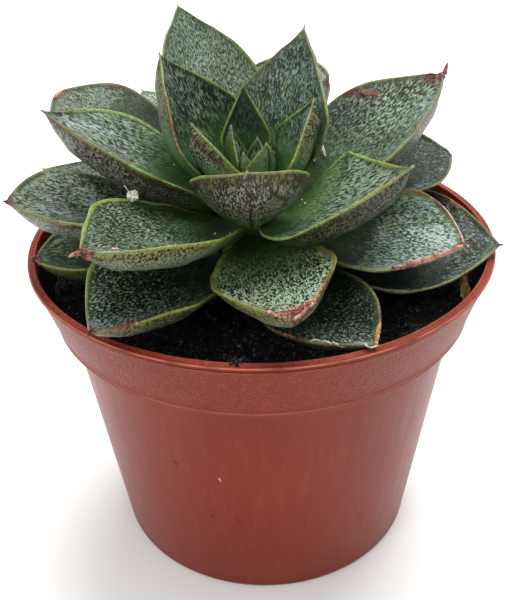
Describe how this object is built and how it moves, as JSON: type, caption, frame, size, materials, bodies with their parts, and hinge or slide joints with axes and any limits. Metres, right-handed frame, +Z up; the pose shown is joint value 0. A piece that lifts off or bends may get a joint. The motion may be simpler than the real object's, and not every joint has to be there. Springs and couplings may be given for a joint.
{
  "type": "potted echeveria",
  "caption": "Rosette succulent with thick, pointed, keeled leaves on a short stem, in a round plastic nursery pot filled with dark soil.",
  "frame": {"origin": "middle of the pot's flat underside, which stands on the ground", "axes": "+Z up; -Y is the side that shows best; +X is to the right seen from there"},
  "size_m": [0.09, 0.0956, 0.1031],
  "materials": {
    "terracotta_plastic": "satin",
    "potting_soil": "matte",
    "young_leaf": "satin",
    "leaf": "satin"
  },
  "bodies": {
    "root": {"pot": "terracotta_plastic", "soil": "potting_soil", "stem_and_heart": "young_leaf", "leaf_01": "leaf", "leaf_02": "leaf", "leaf_03": "leaf", "leaf_04": "leaf", "leaf_05": "leaf", "leaf_06": "leaf", "leaf_07": "leaf", "leaf_08": "leaf", "leaf_09": "leaf", "leaf_10": "leaf", "leaf_11": "leaf", "leaf_12": "leaf", "leaf_13": "leaf", "leaf_14": "leaf", "leaf_15": "leaf", "leaf_16": "leaf", "leaf_17": "leaf", "leaf_18": "leaf", "leaf_19": "leaf", "leaf_20": "leaf", "leaf_21": "leaf", "leaf_22": "leaf", "leaf_23": "leaf", "leaf_24": "leaf", "leaf_25": "leaf", "leaf_26": "leaf"}
  },
  "joints": []
}
